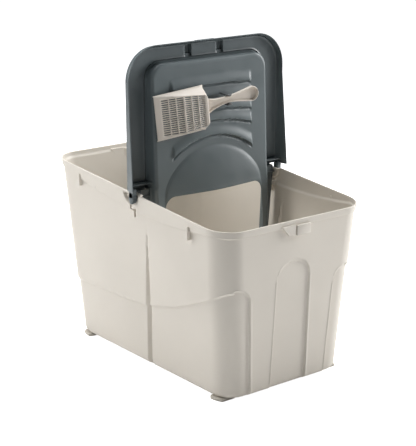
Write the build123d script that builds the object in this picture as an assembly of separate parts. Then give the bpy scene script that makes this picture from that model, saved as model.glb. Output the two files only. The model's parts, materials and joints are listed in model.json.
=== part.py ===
from build123d import *
import math
import os

# Top-entry cat litter box. X runs across the box, Y along it with +Y to the rear, +Z up.
# The origin is on the floor under the middle of the box. The lid is drawn standing open.

# ---- cutting stock, larger than any piece (mm) ----
FAR = 400.0
HALF_ACROSS = 260.0
DEEP_Y = -60.0               # in front of everything on the lid but the scoop

# ---- tub (mm) ----
RIM_WIDTH = 390.0            # over the rim band
RIM_LENGTH = 601.7           # over the rim band
RIM_HEIGHT = 392.3           # at mid-length
RIM_SLOPE = math.degrees(math.atan(49.4 / RIM_LENGTH))   # the rim climbs to the rear
RIM_CORNER = 55.0
FLOOR_WIDTH = 324.8
FLOOR_LENGTH = 551.3
FLOOR_CORNER = 49.0
FOOT_HEIGHT = 6.0
WALL = 2.6
BASE_THICKNESS = 3.0
TUB_STOCK_TOP = 440.0        # the walls are drawn up to here, then cut along the rim
BAND_STOCK_LOW = 300.0       # the band is drawn from here, under its lowest edge
BAND_PROUD = 3.0             # how far the rim band stands off the wall
BAND_DEPTH_END = 14.0
BAND_DEPTH_HINGE = 39.0
BAND_ARC_HALF = 255.0        # half length of the arc in the band's lower edge
POCKET_RADIUS = 25.0         # half-round hinge pocket in the side wall
POCKET_BACK = 187.5          # outer face of the pocket's back wall, from the middle
POCKET_Y = -2.0
POCKET_Z = 392.0
POCKET_TOP_STRIP = 7.0       # rim left standing over the rear part of the pocket
SIDE_RIB_Y = 193.0
SIDE_RIB = (3.0, 26.0)       # thickness and height
CATCH_WIDTH = 74.0
CATCH_HEIGHT = 23.0
CATCH_PROUD = 6.0
CATCH_DROP = 8.0             # from the rim edge to the top of a catch
SIDE_RIB_DROP = 10.0
SIDE_RIB_ROOT = 175.0        # the ribs are drawn from inside the wall

# ---- feet ----
FOOT_SIZE = (46.0, 34.0)
FOOT_CORNER = 8.0
FOOT_X = 140.0
FOOT_Y = 236.0

# ---- hinge ----
HINGE_Y = -8.0
HINGE_Z = 383.0
PIN_RADIUS = 4.0
PIN_CLEARANCE = 0.35
PIN_INNER = 178.0
PIN_OUTER = 200.0
BOSS_RADIUS = 13.5
BOSS_INNER = 190.5
ARM_TOP_Z = 405.0            # where the arm runs into the skirt

# ---- hood frame ----
LID_TOP = 689.0
LID_HALF = 202.0
LID_CORNER = 68.0
SKIN = 3.0
PLATE_FRONT = 2.5            # face of the plate that looks down when the lid is shut
SKIRT_END_Z = 397.0
SKIRT_DEPTH_TOP = 18.0
SKIRT_DEPTH_HINGE = 33.5
SKIRT_EVEN = 90.0            # the skirt keeps its least depth this far down from the top
SKIRT_FLARE = 14.0           # degrees outward
RAIL_BACK = -9.4             # top face of the lower rails
RAIL_THICK = 2.6
RAIL_HALF_HINGE = 182.0
RAIL_HALF_END = 158.0
RAIL_END_Z = 104.0
RAIL_CORNER = 40.0
RAIL_OVERLAP = 24.0          # how far the rails run up past the hinge
CHEEK_X = 177.0
CHEEK_SIZE = (3.5, 25.5, 46.0)
CHEEK_LOW_Z = 366.0
HINGE_RIB_Z = (381.0, 407.0)
HINGE_RIB_DEPTH = 8.0
TAB_HALF = 26.0
TAB_RISE = 3.0

# ---- entry insert ----
PAN_HALF = 154.5
PAN_TOP = 656.0
PAN_HALF_END = 143.0
PAN_END_Z = 122.0
PAN_CORNER = 34.0
PAN_DRAFT = 6.0
PAN_SKIN = 2.6
FACE_TOP_Y = -18.0
FACE_HINGE_Y = -31.0
FACE_LOW_Y = -41.0
FACE_LOW_Z = 290.0
WINDOW_GAP = 3.5             # from the pan wall to the frame's window
LIP = 9.0                    # the insert's lip over the frame
LIP_THICK = 2.4
LIP_ROOT = 3.2               # how far the lip reaches into the pan wall
HOLE_HALF = 131.0
HOLE_TOP = 377.0
HOLE_BOTTOM = 168.0
HOLE_CORNER = 24.0
TREAD_RIB_HEIGHTS = (440.0, 492.0, 524.0, 556.0, 602.0)
TREAD_RIB_RADII = (133.0, 190.0, 330.0, 520.0, 700.0)
TREAD_RIB_HALF = 108.0

# ---- scoop, lying across the underside of the lid ----
SCOOP_TIP = (-150.8, -27.0, 544.4)
SCOOP_TILT = 6.3             # degrees up towards the handle
SCOOP_TURN = 6.3             # degrees out from the lid towards the handle
SCOOP_SKIN = 2.0
SCOOP_SECTIONS = ((0.0, 48.0, 47.0, 3.0), (60.0, 48.0, 41.0, 20.0), (115.0, 48.0, 34.5, 27.5))
SLOT_ROWS = 15
SLOT_PITCH = 4.6
SLOT_WIDTH = 2.2
SLOT_COLUMNS = ((15.0, 35.0), (38.0, 57.0), (64.0, 84.0), (87.0, 107.0))
HANDLE_THICK = 8.0
HANDLE_NECK = 20.0
HANDLE_WAIST = 9.0
HANDLE_END_RADIUS = 16.0
HANDLE_LENGTH = 136.0
HANDLE_RIM = 2.2

# ---- scoop clip ----
CLIP_U = 174.0               # along the scoop from its tip
CLIP_JAW = (9.0, 22.0, 4.0)


def along_rim(y):
    """Height of the rim edge at y."""
    return RIM_HEIGHT + y * math.tan(math.radians(RIM_SLOPE))


def section(z, grow=0.0):
    """Horizontal outline of the tub's outer wall at height z, moved outward by grow."""
    share = (z - FOOT_HEIGHT) / (RIM_HEIGHT - FOOT_HEIGHT)
    width = FLOOR_WIDTH + share * (RIM_WIDTH - 2 * BAND_PROUD - FLOOR_WIDTH) + 2 * grow
    length = FLOOR_LENGTH + share * (RIM_LENGTH - 2 * BAND_PROUD - FLOOR_LENGTH) + 2 * grow
    corner = FLOOR_CORNER + share * (RIM_CORNER - BAND_PROUD - FLOOR_CORNER) + grow
    return Pos(0, 0, z) * RectangleRounded(width, length, corner)


def drafted(z_low, z_high, grow=0.0):
    """Solid between two outlines of the tapering tub."""
    return loft([section(z_low, grow), section(z_high, grow)])


def across(points):
    """A closed outline in the YZ plane, run through the whole width."""
    outline = Plane.YZ * make_face(Polyline(*points, close=True))
    return extrude(outline, amount=HALF_ACROSS, both=True)


def box_between(low, high):
    size = [b - a for a, b in zip(low, high)]
    middle = [(a + b) / 2 for a, b in zip(low, high)]
    return Pos(*middle) * Box(*size)


def mirrored(shape):
    return mirror(shape, about=Plane.YZ)


def both_sides(shape):
    return shape + mirrored(shape)


def under_rim():
    """Everything lower than the sloping rim edge."""
    return across([(-FAR, -10), (FAR, -10), (FAR, along_rim(FAR)), (-FAR, along_rim(-FAR))])


def rim_band():
    """Solid block whose outside is the band that hangs from the rim edge."""
    arc_front = (-BAND_ARC_HALF, along_rim(-BAND_ARC_HALF) - BAND_DEPTH_END)
    arc_rear = (BAND_ARC_HALF, along_rim(BAND_ARC_HALF) - BAND_DEPTH_END)
    edge = ThreePointArc(arc_front, (0, RIM_HEIGHT - BAND_DEPTH_HINGE), arc_rear) + Polyline(
        arc_rear,
        (FAR, along_rim(FAR) - BAND_DEPTH_END),
        (FAR, TUB_STOCK_TOP + 5),
        (-FAR, TUB_STOCK_TOP + 5),
        (-FAR, along_rim(-FAR) - BAND_DEPTH_END),
        arc_front,
    )
    block = drafted(BAND_STOCK_LOW, TUB_STOCK_TOP, BAND_PROUD)
    return block & extrude(Plane.YZ * make_face(edge), amount=HALF_ACROSS, both=True)


def side_disc(x, y, z, radius, length):
    """A disc on an axis along X, from x outward."""
    disc = Cylinder(radius, length, align=(Align.CENTER, Align.CENTER, Align.MIN))
    return Pos(x, y, z) * Rot(0, 90, 0) * disc


def hinge_pocket():
    """Cutter for the half-round pocket at +X; a strip of rim stays over its rear part."""
    cutter = side_disc(POCKET_BACK, POCKET_Y, POCKET_Z, POCKET_RADIUS, 30)
    rear = HINGE_Y + BOSS_RADIUS + 1
    strip = across([(rear, along_rim(rear) - POCKET_TOP_STRIP), (FAR, along_rim(FAR) - POCKET_TOP_STRIP),
                    (FAR, TUB_STOCK_TOP + 5), (rear, TUB_STOCK_TOP + 5)])
    return cutter - strip


def pin_slot():
    """Open-topped bearing slot in the pocket's back wall."""
    radius = PIN_RADIUS + PIN_CLEARANCE
    bore = side_disc(POCKET_BACK - 6, HINGE_Y, HINGE_Z, radius, 12)
    mouth = box_between((POCKET_BACK - 6, HINGE_Y - radius + 0.6, HINGE_Z),
                        (POCKET_BACK + 6, HINGE_Y + radius - 0.6, TUB_STOCK_TOP))
    return bore + mouth


def tub():
    backing = side_disc(POCKET_BACK - WALL, POCKET_Y, POCKET_Z, POCKET_RADIUS + WALL, 30)
    hollow = drafted(FOOT_HEIGHT + BASE_THICKNESS, TUB_STOCK_TOP + 1, -WALL) - both_sides(backing)
    body = drafted(FOOT_HEIGHT, TUB_STOCK_TOP) + rim_band()
    body = (body - hollow) & under_rim()
    body = body - both_sides(hinge_pocket()) - both_sides(pin_slot())
    mid_wall = drafted(FOOT_HEIGHT, TUB_STOCK_TOP, -WALL / 2)
    thick, tall = SIDE_RIB
    for y in (-SIDE_RIB_Y, SIDE_RIB_Y):
        top = along_rim(y) - SIDE_RIB_DROP
        low = (SIDE_RIB_ROOT, y - thick / 2, top - tall)
        rib = box_between(low, (RIM_WIDTH / 2 - 1, y + thick / 2, top)) - mid_wall
        body = body + rib + mirrored(rib)
    for end in (-1, 1):
        y = end * (RIM_LENGTH / 2 - BAND_PROUD)
        top = along_rim(y) - CATCH_DROP
        catch = box_between((-CATCH_WIDTH / 2, y - CATCH_PROUD - 2, top - CATCH_HEIGHT),
                            (CATCH_WIDTH / 2, y + CATCH_PROUD + 2, top))
        body = body + (catch - mid_wall)
    return body


def foot(x, y):
    """A pad under one corner, cut to the outline of the floor above it."""
    pad = extrude(Pos(x, y, 0) * RectangleRounded(*FOOT_SIZE, FOOT_CORNER), amount=FOOT_HEIGHT)
    return pad & extrude(Pos(0, 0, -FOOT_HEIGHT) * section(FOOT_HEIGHT), amount=FOOT_HEIGHT)


def upright(outline, y_from, y_to, taper=0.0):
    """An outline drawn as (x, z), run from y_from forward to y_to."""
    plane = Plane(origin=(0, y_from, 0), x_dir=(1, 0, 0), z_dir=(0, -1, 0))
    return extrude(plane * outline, amount=y_from - y_to, taper=taper)


def polygon(points):
    return make_face(Polyline(*points, close=True))


def hood_outline(grow=0.0, bottom=None):
    low = SKIRT_END_Z if bottom is None else bottom
    face = polygon([(-LID_HALF - grow, low), (LID_HALF + grow, low),
                    (LID_HALF + grow, LID_TOP + grow), (-LID_HALF - grow, LID_TOP + grow)])
    corners = face.vertices().sort_by(Axis.Y)[-2:]
    return fillet(corners, LID_CORNER + grow)


def tapered_outline(top_z, top_half, hinge_half, end_half, end_z, corner_top, corner_end):
    """Straight above the hinge, then narrowing towards the lower end."""
    face = polygon([(-top_half, top_z), (-hinge_half, HINGE_Z), (-end_half, end_z),
                    (end_half, end_z), (hinge_half, HINGE_Z), (top_half, top_z)])
    vertices = face.vertices().sort_by(Axis.Y)
    face = fillet(vertices[:2], corner_end)
    vertices = face.vertices().sort_by(Axis.Y)
    return fillet(vertices[-2:], corner_top)


def pan_outline(grow=0.0):
    return tapered_outline(PAN_TOP + grow, PAN_HALF + grow, PAN_HALF + grow, PAN_HALF_END + grow,
                           PAN_END_Z - grow, PAN_CORNER + grow, PAN_CORNER + grow)


def hood_frame():
    front_y = PLATE_FRONT
    back_y = PLATE_FRONT + SKIN
    window = upright(pan_outline(WINDOW_GAP), back_y + 20, DEEP_Y)
    plate = upright(hood_outline(), back_y, front_y) - window

    deepest = back_y - SKIRT_DEPTH_HINGE - 4
    inner = hood_outline(-SKIN, SKIRT_END_Z - 20)
    skirt = upright(hood_outline(), back_y, deepest, -SKIRT_FLARE)
    skirt = skirt - upright(inner, back_y + 0.01, deepest - 1, -SKIRT_FLARE)
    skirt = skirt & across([
        (back_y, SKIRT_END_Z), (back_y, LID_TOP + 30),
        (back_y - SKIRT_DEPTH_TOP, LID_TOP + 30),
        (back_y - SKIRT_DEPTH_TOP, LID_TOP - SKIRT_EVEN),
        (back_y - SKIRT_DEPTH_HINGE, SKIRT_END_Z),
    ])

    front, rear = HINGE_Y - BOSS_RADIUS, HINGE_Y + BOSS_RADIUS
    arm = Plane.YZ * make_face(
        Polyline((front, HINGE_Z), (front, ARM_TOP_Z), (rear, ARM_TOP_Z), (rear, HINGE_Z))
        + ThreePointArc((rear, HINGE_Z), (HINGE_Y, HINGE_Z - BOSS_RADIUS), (front, HINGE_Z)))
    arm = Pos(LID_HALF - SKIN - 1, 0, 0) * extrude(arm, amount=SKIN + 1.5)
    boss = side_disc(BOSS_INNER, HINGE_Y, HINGE_Z, BOSS_RADIUS, LID_HALF - BOSS_INNER - 1)
    bore = side_disc(PIN_INNER - 10, HINGE_Y, HINGE_Z, PIN_RADIUS, PIN_OUTER - PIN_INNER + 10)

    rail_outer = tapered_outline(HINGE_Z + RAIL_OVERLAP, RAIL_HALF_HINGE, RAIL_HALF_HINGE, RAIL_HALF_END,
                                 RAIL_END_Z, 1.0, RAIL_CORNER)
    rails = upright(rail_outer, RAIL_BACK, RAIL_BACK - RAIL_THICK) - window
    thick, deep, tall = CHEEK_SIZE
    cheek = box_between((CHEEK_X, PLATE_FRONT + SKIN - deep, CHEEK_LOW_Z),
                        (CHEEK_X + thick, PLATE_FRONT + SKIN, CHEEK_LOW_Z + tall))
    side = arm + boss + cheek
    for z in HINGE_RIB_Z:
        side = side + box_between((PAN_HALF + LIP + 0.5, RAIL_BACK - HINGE_RIB_DEPTH, z - 1),
                                  (CHEEK_X + 1, 1.0, z + 1))
    frame = plate + skirt + rails + both_sides(side) - both_sides(bore)

    tab = box_between((-TAB_HALF, front_y - 1, LID_TOP - 1), (TAB_HALF, back_y, LID_TOP + TAB_RISE))
    return frame + tab


def pan_profile(shift):
    """Side view of the insert's face, moved back by shift, closed well behind it."""
    return [(60, PAN_TOP + 40), (FACE_TOP_Y + shift, PAN_TOP + 40), (FACE_TOP_Y + shift, PAN_TOP),
            (FACE_HINGE_Y + shift, HINGE_Z), (FACE_LOW_Y + shift, FACE_LOW_Z),
            (FACE_LOW_Y + shift, PAN_END_Z - 30), (60, PAN_END_Z - 30)]


def behind_lid(gap):
    """The space over the frame: behind the plate above the hinge and behind the rails below it."""
    split = HINGE_Z + 14
    plate_back = PLATE_FRONT + SKIN + gap
    return across([(plate_back, 800), (plate_back, split), (RAIL_BACK + gap, split),
                   (RAIL_BACK + gap, 60), (90, 60), (90, 800)])


def entry_insert():
    back_y = PLATE_FRONT + SKIN + LIP_THICK
    outer = upright(pan_outline(), back_y, DEEP_Y, PAN_DRAFT) & across(pan_profile(0))
    inner = upright(pan_outline(-PAN_SKIN), back_y + 0.01, DEEP_Y, PAN_DRAFT) & across(pan_profile(PAN_SKIN))
    pan = outer - inner - behind_lid(LIP_THICK)
    lip = upright(pan_outline(LIP), 60, DEEP_Y) - upright(pan_outline(-LIP_ROOT), 60, DEEP_Y)
    lip = lip & (behind_lid(0) - behind_lid(LIP_THICK))
    insert = pan + lip
    hole = polygon([(-HOLE_HALF, HOLE_BOTTOM), (HOLE_HALF, HOLE_BOTTOM),
                    (HOLE_HALF, HOLE_TOP), (-HOLE_HALF, HOLE_TOP)])
    hole = fillet(hole.vertices(), HOLE_CORNER)
    insert = insert - upright(hole, 20, DEEP_Y)
    return insert + tread_ribs()


def tread_ribs():
    """Arched ribs standing on the tread side of the insert."""
    ribs = []
    for z, radius in zip(TREAD_RIB_HEIGHTS, TREAD_RIB_RADII):
        ring = Circle(radius + 1.5) - Circle(radius - 1.5)
        arc = Pos(0, z - radius) * ring
        arc = arc & polygon([(-TREAD_RIB_HALF, z - radius * 0.7), (TREAD_RIB_HALF, z - radius * 0.7),
                             (TREAD_RIB_HALF, z + 5), (-TREAD_RIB_HALF, z + 5)])
        slab = upright(arc, 10, DEEP_Y) & across(pan_profile(0.5)) - across(pan_profile(PAN_SKIN + 3))
        ribs.append(slab)
    return ribs[0] + ribs[1:]


def scoop_place():
    return Pos(*SCOOP_TIP) * Rot(0, -SCOOP_TILT, 0) * Rot(0, 0, -SCOOP_TURN)


def scoop_section(u, rim_half, plate_half, depth, rim_at=0.0):
    """Trapezoid across the head: wide at the rim by the lid, narrow at the plate."""
    points = [(-rim_half, rim_at), (rim_half, rim_at), (plate_half, depth), (-plate_half, depth)]
    plane = Plane(origin=(u, 0, 0), x_dir=(0, 0, 1), z_dir=(1, 0, 0))
    return plane * polygon(points)


def scoop():
    outer = loft([scoop_section(*s) for s in SCOOP_SECTIONS], ruled=True)
    hollow = []
    for (u, rim, plate, depth), shift in zip(SCOOP_SECTIONS, (-0.5, 0.0, -SCOOP_SKIN)):
        inside = [size - SCOOP_SKIN for size in (rim, plate, depth)]
        hollow.append(scoop_section(u + shift, *inside, -1.0))
    head = outer - loft(hollow, ruled=True)
    for row in range(SLOT_ROWS):
        z = (row - (SLOT_ROWS - 1) / 2) * SLOT_PITCH
        for start, end in SLOT_COLUMNS:
            slot = box_between((start, DEEP_Y, z - SLOT_WIDTH / 2), (end, -0.5, z + SLOT_WIDTH / 2))
            head = head - slot
    return scoop_place() * (head + scoop_handle())


def handle_outline(grow=0.0):
    """Neck at the head, a waist, then a round end; drawn as (along, across)."""
    start = SCOOP_SECTIONS[-1][0] - 2
    end = start + HANDLE_LENGTH - HANDLE_END_RADIUS
    waist = start + HANDLE_LENGTH * 0.45
    upper = Spline((start, HANDLE_NECK + grow), (waist, HANDLE_WAIST + grow),
                   (end, HANDLE_END_RADIUS + grow), tangents=[(1, -0.6), (1, 0)])
    lower = mirror(upper, about=Plane.XZ)
    tip = ThreePointArc((end, HANDLE_END_RADIUS + grow), (end + HANDLE_END_RADIUS + grow, 0),
                        (end, -HANDLE_END_RADIUS - grow))
    base = Line((start, -HANDLE_NECK - grow), (start, HANDLE_NECK + grow))
    return make_face(upper + tip + lower + base)


def scoop_handle():
    plane = Plane(origin=(0, -2, 0), x_dir=(1, 0, 0), z_dir=(0, -1, 0))
    bar = extrude(plane * handle_outline(), amount=HANDLE_THICK)
    channel = extrude(plane.offset(2.4) * handle_outline(-HANDLE_RIM), amount=HANDLE_THICK)
    past_head = box_between((SCOOP_SECTIONS[-1][0] + 1, DEEP_Y, -FAR), (FAR, -DEEP_Y, FAR))
    return bar - (channel & past_head)


def scoop_clip():
    """Two jaws on a small plate that hold the waist of the scoop's handle."""
    long, deep, thick = CLIP_JAW
    jaws = []
    for side in (-1, 1):
        z = side * (HANDLE_WAIST + 1.2 + thick / 2)
        low = (CLIP_U - long / 2, -HANDLE_THICK - 3, z - thick / 2)
        high = (CLIP_U + long / 2, deep, z + thick / 2)
        jaws.append(box_between(low, high))
    clip = scoop_place() * (jaws[0] + jaws[1])
    return clip - across(pan_profile(0))


def hinge_pin():
    return side_disc(PIN_INNER, HINGE_Y, HINGE_Z, PIN_RADIUS, PIN_OUTER - PIN_INNER)


def build():
    nodes = {"tub": tub(), "hood_frame": hood_frame(), "entry_insert": entry_insert()}
    nodes["scoop"] = scoop()
    nodes["scoop_clip"] = scoop_clip()
    nodes["hinge_pin_right"] = hinge_pin()
    nodes["hinge_pin_left"] = mirrored(hinge_pin())
    for end, y in (("front", -FOOT_Y), ("rear", FOOT_Y)):
        for side, x in (("left", -FOOT_X), ("right", FOOT_X)):
            nodes[f"foot_{end}_{side}"] = foot(x, y)
    return nodes


os.makedirs("parts", exist_ok=True)
for name, shape in build().items():
    export_step(shape, f"parts/{name}.step")
    print(name, round(shape.volume / 1000, 1), "cm3")
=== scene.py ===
import json
import math
import bmesh
import bpy
import numpy as np
from mathutils import Matrix, Vector

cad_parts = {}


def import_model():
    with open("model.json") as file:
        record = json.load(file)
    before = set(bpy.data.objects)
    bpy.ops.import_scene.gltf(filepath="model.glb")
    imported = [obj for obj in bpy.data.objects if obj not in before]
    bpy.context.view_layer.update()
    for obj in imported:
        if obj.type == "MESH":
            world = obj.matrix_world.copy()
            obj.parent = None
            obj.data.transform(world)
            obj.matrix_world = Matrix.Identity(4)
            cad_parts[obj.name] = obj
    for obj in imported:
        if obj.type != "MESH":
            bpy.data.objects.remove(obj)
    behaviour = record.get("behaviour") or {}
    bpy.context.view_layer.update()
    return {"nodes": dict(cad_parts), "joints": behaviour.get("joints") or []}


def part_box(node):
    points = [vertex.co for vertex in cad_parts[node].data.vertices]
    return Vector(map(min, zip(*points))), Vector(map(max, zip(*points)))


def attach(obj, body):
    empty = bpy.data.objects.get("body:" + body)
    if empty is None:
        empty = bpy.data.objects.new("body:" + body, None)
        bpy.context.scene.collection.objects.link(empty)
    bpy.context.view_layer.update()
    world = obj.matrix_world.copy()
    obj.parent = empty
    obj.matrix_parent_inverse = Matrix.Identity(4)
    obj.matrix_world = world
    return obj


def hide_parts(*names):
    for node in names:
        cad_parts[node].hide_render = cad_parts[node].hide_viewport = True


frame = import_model()

# Lengths are in millimetres here and are scaled to metres when a mesh is made.
MM = 0.001
HINGE_Z = next(joint for joint in frame["joints"] if joint["name"] == "lid_hinge")["pos_m"][2] / MM

# ---- tub ----
FLOOR_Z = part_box("tub")[0][2] / MM
RIM_MID_Z = 392.3
RIM_SLOPE = 49.4 / 601.7
WALL = 2.6
FOOT_RADIUS = 12.0                           # round lower edge of the box
FLOOR_HALF = np.array([162.4, 275.65])
WALL_HALF = np.array([192.0, 297.85])        # at the rim's middle height
CORNER_LOW, CORNER_HIGH = 49.0, 52.0
BAND_PROUD = 3.0
BAND_DEPTH_END, BAND_DEPTH_HINGE, BAND_ARC_HALF = 14.0, 39.0, 255.0
POCKET_Y, POCKET_Z, POCKET_RADIUS = 2.0, 392.0, 26.0
POCKET_BACK = 187.5
RIM_STRIP = 6.0                              # rim left standing over the rear of each pocket
STEP_INSET = 3.5
LIP_PROUD = 0.9                              # raised edge along the steps
EDGE = 1.6                                   # half width of a moulded step's slope
RIM_ROUND, BAND_SOFT = 1.6, 0.8              # roundings of the rim and of the band's lower edge
INNER_FLOOR, INNER_FOOT_RADIUS = 3.0, 9.0
ARCH_TOP, REAR_ARCH_TOP = 243.0, 136.0       # corner arches of the front and rear faces
CREASE_TOP, CREASE_FULL = 343.0, 147.0       # the side crease starts and reaches its full size
CREASE_DEPTH = 7.5

# ---- lid ----
LID_HALF, LID_TOP, LID_CORNER = 202.0, 689.0, 68.0
SKIRT_END_Z = 397.0
PLATE_FRONT, PLATE_BACK = 2.5, 5.5
SKIN = 2.4
SKIRT_DEPTH_TOP, SKIRT_DEPTH_HINGE, SKIRT_EVEN_Z = 18.0, 33.5, 602.0
SKIRT_FLARE = math.tan(math.radians(14.0))
SKIRT_SET = 1.2                              # the skirt starts this far in front of the plate's back
INNER_FILLET, SHOULDER = 3.6, 4.2
WINDOW_HALF, WINDOW_TOP, WINDOW_CORNER = 158.0, 659.5, 37.5
FACE_MARGIN = 6.0                            # from the plate's flat face to the skirt
RISE_STEPS = int((LID_TOP - LID_CORNER - SKIRT_END_Z) / 3.2) + 1
ACROSS_STEPS = int(2 * (LID_HALF - LID_CORNER) / 1.5) + 1
ARC_STEPS = 22
FLUTE_X, FLUTE_DEPTH = 42.0, 7.5
BOSS_RADIUS, BOSS_Y, BOSS_NARROW = 13.5, -9.4, 0.53   # narrower along the box than it is tall
RAIL_TOP_Z, RAIL_END_Z = HINGE_Z + 13.0, 104.0
RAIL_HALF, RAIL_HALF_END, RAIL_CORNER = 182.0, 158.0, 40.0
RAIL_BACK, RAIL_THICK, RAIL_SOFT = -9.4, 2.6, 0.7
RAIL_GAP = 3.5                               # the rail's inner edge stands off the insert

# ---- entry insert ----
PAN_HALF, PAN_TOP, PAN_HALF_END, PAN_END_Z, PAN_CORNER = 154.5, 656.0, 143.0, 122.0, 34.0
PAN_DRAFT = math.tan(math.radians(6.0))
PAN_SKIN, PAN_FILLET = 2.6, 7.0
PAN_LIP_FROM_Z = HINGE_Z + 14               # above it the insert's lip lies behind the lid's plate
FACE_Y = ((700.0, -16.0), (656.0, -18.0), (383.0, -31.0), (290.0, -41.0), (60.0, -41.0))
HOLE_HALF, HOLE_TOP, HOLE_BOTTOM, HOLE_CORNER = 131.0, 377.0, 168.0, 24.0
RIDGES = ((494.0, 181.0), (525.0, 372.0), (549.0, 640.0), (576.0, 900.0), (602.0, 1500.0))
RIDGE_HALF, RIDGE_PROUD = 106.0, 4.2
RIDGE_GROOVE = 2.2                           # set in under each ridge's steep edge
AWNING_Z, AWNING_HALF, AWNING_RISE, AWNING_PROUD = 350.0, 133.0, 117.0, 15.0
HOLE_CENTRE_Z = (HOLE_TOP + HOLE_BOTTOM) / 2

# ---- scoop ----
SCOOP_TIP = np.array([-150.8, -27.0, 544.4])
SCOOP_TILT, SCOOP_TURN = math.radians(6.3), math.radians(6.3)
HEAD_LENGTH, BEND_U = 115.0, 61.0
HEAD_HALF = 48.0                             # at the rim by the lid
PLATE_HALF = (47.0, 41.0, 34.5)              # at the tip, the bend and the handle end
HEAD_DEPTH = (3.0, 20.0, 27.5)
HEAD_CORNER, HEAD_SKIN = 11.0, 2.0
WALL_STEPS = 6                               # points across each side wall of the head
CLIP_U = 174.0
HANDLE_REACH = 117.0                         # from the neck to the middle of the round end
HANDLE_RISE = 6.5                            # the handle runs above the head's middle line
HANDLE_HALVES = ((0.0, 19.5), (0.1, 13.5), (0.2, 9.8), (0.35, 7.4), (0.5, 6.8), (0.65, 8.2),
                 (0.85, 12.8), (1.0, 16.0))  # half width by share of the reach
SLOT_ROWS, SLOT_PITCH, SLOT_WIDTH = 17, 4.5, 2.3
SLOT_COLUMNS = ((14, 28), (30, 43.5), (45.5, 59), (63, 76), (78, 91), (93, 106))


# =====================================================================
# mesh helpers
# =====================================================================

class Shape:
    """Vertices in mm and faces, gathered before they become one mesh."""

    def __init__(self):
        self.points = []
        self.faces = []
        self.count = 0

    def add(self, points, faces):
        points = np.asarray(points, float).reshape(-1, 3)
        self.points.append(points)
        self.faces += [[i + self.count for i in face] for face in faces]
        self.count += len(points)
        return self

    def tube(self, x, y, z):
        """Rows by columns of points, with the last column joined to the first."""
        rows, cols = x.shape
        faces = []
        for r in range(rows - 1):
            for c in range(cols):
                d = (c + 1) % cols
                faces.append([r * cols + c, r * cols + d, (r + 1) * cols + d, (r + 1) * cols + c])
        return self.add(np.stack([x, y, z], -1), faces)

    def ring_loft(self, rings):
        """Closed rings of equal length, joined one to the next and capped at both ends."""
        stack = np.array(rings, float)
        count = stack.shape[1]
        self.tube(stack[..., 0], stack[..., 1], stack[..., 2])
        start = self.count - stack.shape[0] * count
        self.faces.append(list(range(start, start + count))[::-1])
        self.faces.append(list(range(self.count - count, self.count)))
        return self

    def block(self, low, high, radius=0.8):
        """A box with rounded edges."""
        low, high = np.array(low, float), np.array(high, float)
        centre, half = (low + high) / 2, (high - low) / 2
        r = min(radius, half.min() * 0.95)
        bm = bmesh.new()
        bmesh.ops.create_cube(bm, size=2.0)
        for v in bm.verts:
            v.co = Vector(half * np.array(v.co))
        bmesh.ops.bevel(bm, geom=bm.edges[:], offset=r, segments=3, profile=0.5, affect="EDGES")
        points = np.array([v.co for v in bm.verts])
        faces = [[v.index for v in f.verts] for f in bm.faces]
        bm.free()
        return self.add(points + centre, faces)

    def join(self, other):
        return self.add(np.concatenate(other.points), other.faces)

    def mirrored(self, other):
        """Adds another shape and its mirror image across X = 0."""
        self.join(other)
        return self.add(np.concatenate(other.points) * [-1, 1, 1], [face[::-1] for face in other.faces])

    def prism(self, outline, y_from, y_to, round_by=0.8):
        """An (x, z) outline run along Y with softened end edges."""
        points = np.array(outline, float)
        centre = points.mean(0)
        spread = np.abs(points - centre).max()
        rings = []
        steps = ((y_from, 1), (y_from, 0), (y_to, 0), (y_to, 1))
        direction = 1 if y_to > y_from else -1
        for k, (y, inset) in enumerate(steps):
            scale = 1 - inset * round_by / spread
            shift = 0 if inset else round_by * direction * (1 if k < 2 else -1)
            ring = centre + (points - centre) * scale
            rings.append(np.stack([ring[:, 0], np.full(len(ring), y + shift), ring[:, 1]], -1))
        return self.ring_loft(rings)


def smooth(t):
    """0 below -1, 1 above +1, an eased rise between."""
    t = np.clip((np.asarray(t, float) + 1) / 2, 0, 1)
    return t * t * (3 - 2 * t)


def spaced(start, end, step, fine=()):
    """Positions from start to end, closer together inside the fine ranges (low, high, step)."""
    out = [start]
    while out[-1] < end - 1e-6:
        here = out[-1]
        size = step
        for low, high, small in fine:
            if low - step < here < high:
                size = min(size, small)
        out.append(min(here + size, end))
    return np.array(out)


def make(name, shape, body, material, sharp=40.0, place=None, replaces=()):
    """Turns a shape into one named piece that rides a body."""
    points = np.concatenate(shape.points)
    if place is not None:
        points = place(points)
    mesh = bpy.data.meshes.new(name)
    mesh.from_pydata((points * MM).tolist(), [], shape.faces)
    mesh.validate()
    fix_normals(mesh)
    mesh.shade_smooth()
    mesh.set_sharp_from_angle(angle=math.radians(sharp))
    mesh.materials.append(material)
    piece = bpy.data.objects.new(name, mesh)
    bpy.context.scene.collection.objects.link(piece)
    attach(piece, body)
    if replaces:
        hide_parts(*replaces)
    return piece


def fix_normals(mesh):
    bm = bmesh.new()
    bm.from_mesh(mesh)
    bmesh.ops.remove_doubles(bm, verts=bm.verts[:], dist=0.00002)
    bmesh.ops.recalc_face_normals(bm, faces=bm.faces[:])
    bm.to_mesh(mesh)
    bm.free()


# =====================================================================
# materials
# =====================================================================

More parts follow.
